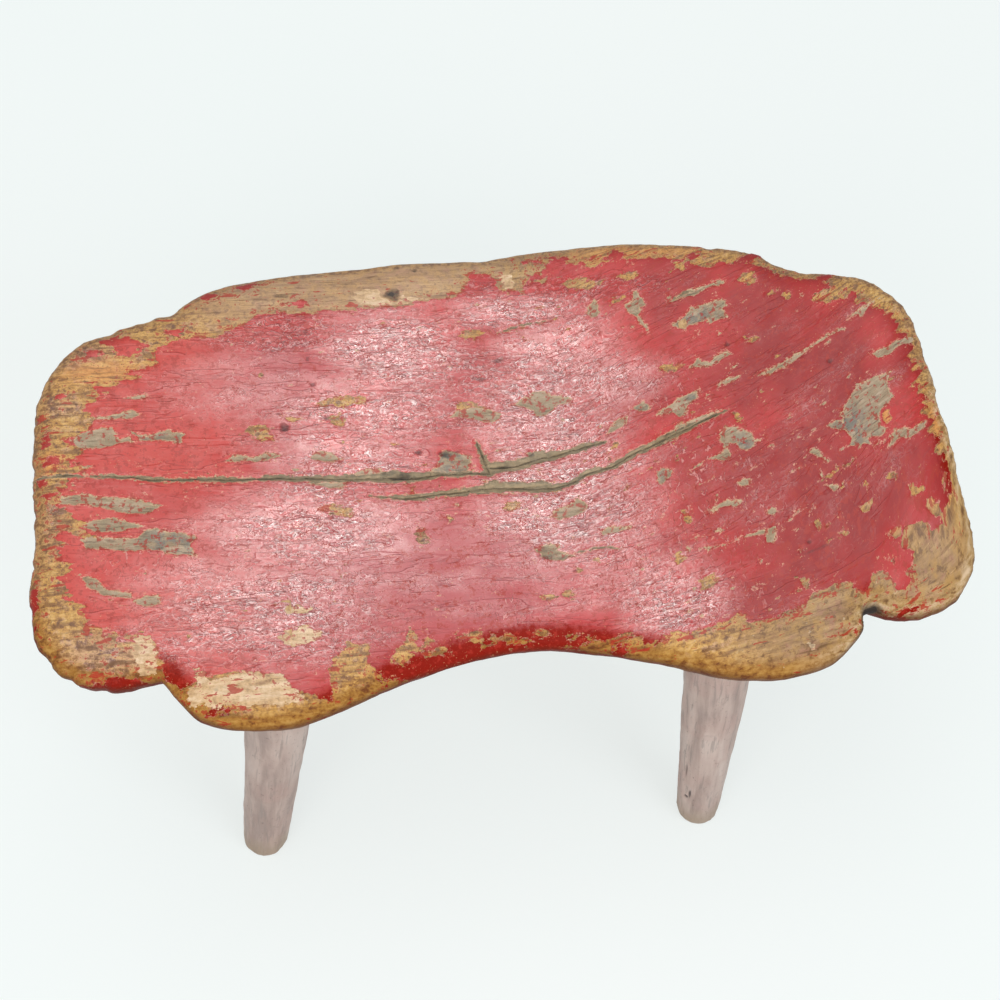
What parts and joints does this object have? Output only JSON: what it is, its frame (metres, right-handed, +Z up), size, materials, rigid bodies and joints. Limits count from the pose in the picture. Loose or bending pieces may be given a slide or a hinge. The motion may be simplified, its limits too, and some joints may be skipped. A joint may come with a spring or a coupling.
{
  "type": "wooden stool",
  "caption": "Small hand-carved wooden stool: a hollowed plank seat with a scalloped, waisted outline on splayed round legs held by wedged through tenons.",
  "frame": {"origin": "centre of the footprint of the whole stool, on the floor", "axes": "+Z up, +X along the seat towards its right end, the waisted front faces -Y"},
  "size_m": [0.36, 0.2052, 0.1903],
  "materials": {
    "painted_wood": "old red paint over ochre and grey wood, crackled, chipped and worn through at the edges, satin to glossy",
    "leg_paint": "thin worn greyish-pink paint over whittled wood, matt",
    "wedge_wood": "bare hardwood wedge, oiled and darkened by use"
  },
  "bodies": {
    "root": {"seat": "painted_wood", "front_left_leg": "leg_paint", "front_right_leg": "leg_paint", "back_left_leg": "leg_paint", "back_right_leg": "leg_paint", "front_left_wedge": "wedge_wood", "front_right_wedge": "wedge_wood", "back_left_wedge": "wedge_wood", "back_right_wedge": "wedge_wood"}
  },
  "joints": []
}
